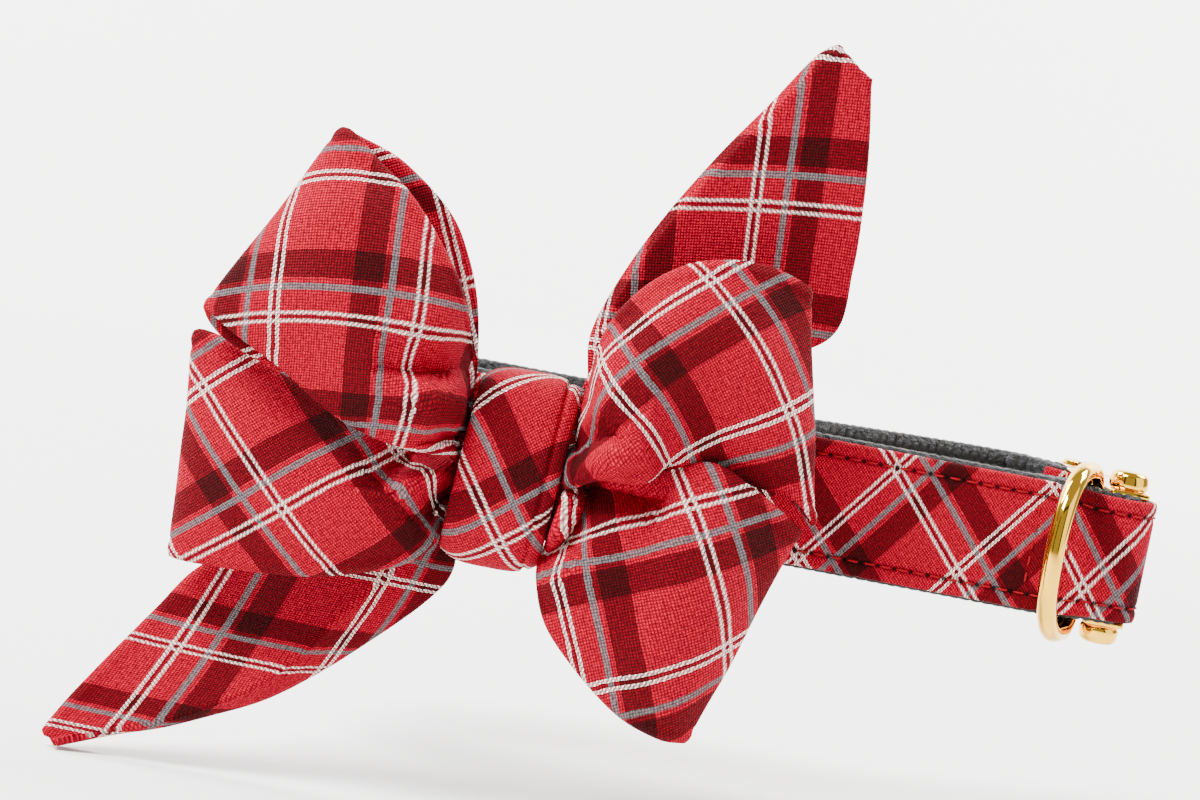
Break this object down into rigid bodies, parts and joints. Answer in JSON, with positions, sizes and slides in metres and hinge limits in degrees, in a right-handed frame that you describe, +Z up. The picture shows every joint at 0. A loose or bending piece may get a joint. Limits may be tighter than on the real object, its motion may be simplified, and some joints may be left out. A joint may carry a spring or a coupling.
{
  "type": "pet bow tie collar",
  "caption": "Closed pet collar of webbing with a tartan cover, a fastened metal buckle, a swinging D-ring and a tied cloth bow with two tails.",
  "frame": {"origin": "middle of the neck opening, halfway up the strap's width", "axes": "+Z up along the neck, the bow faces -Y, the buckle lies towards +X"},
  "size_m": [0.203, 0.099, 0.1561],
  "materials": {
    "webbing": "charcoal nylon webbing, ribbed",
    "cover": "red tartan cotton, sewn on the webbing",
    "loops": "red tartan cotton, matt plain weave",
    "tails": "red tartan cotton, matt plain weave",
    "knot": "red tartan cotton, matt plain weave",
    "elastic": "black knitted elastic",
    "buckle": "polished, gold plated zinc alloy",
    "ring": "polished, gold plated wire"
  },
  "bodies": {
    "collar": {"collar_webbing": "webbing", "collar_cover": "cover", "buckle_socket": "buckle", "buckle_tongue": "buckle", "bow_keeper": "elastic", "bow_knot": "knot", "bow_loop_upper_left": "loops", "bow_loop_lower_left": "loops", "bow_loop_upper_right": "loops", "bow_loop_lower_right": "loops", "bow_tail_upper_right": "tails", "bow_tail_lower_left": "tails"},
    "leash_ring": {"d_ring": "ring"}
  },
  "joints": [
    {"name": "ring_swing", "type": "hinge", "parent": "collar", "child": "leash_ring", "pos_m": [0.075, -0.021, 0], "axis": [0, 0, 1], "range_deg": [-30, 50]}
  ]
}
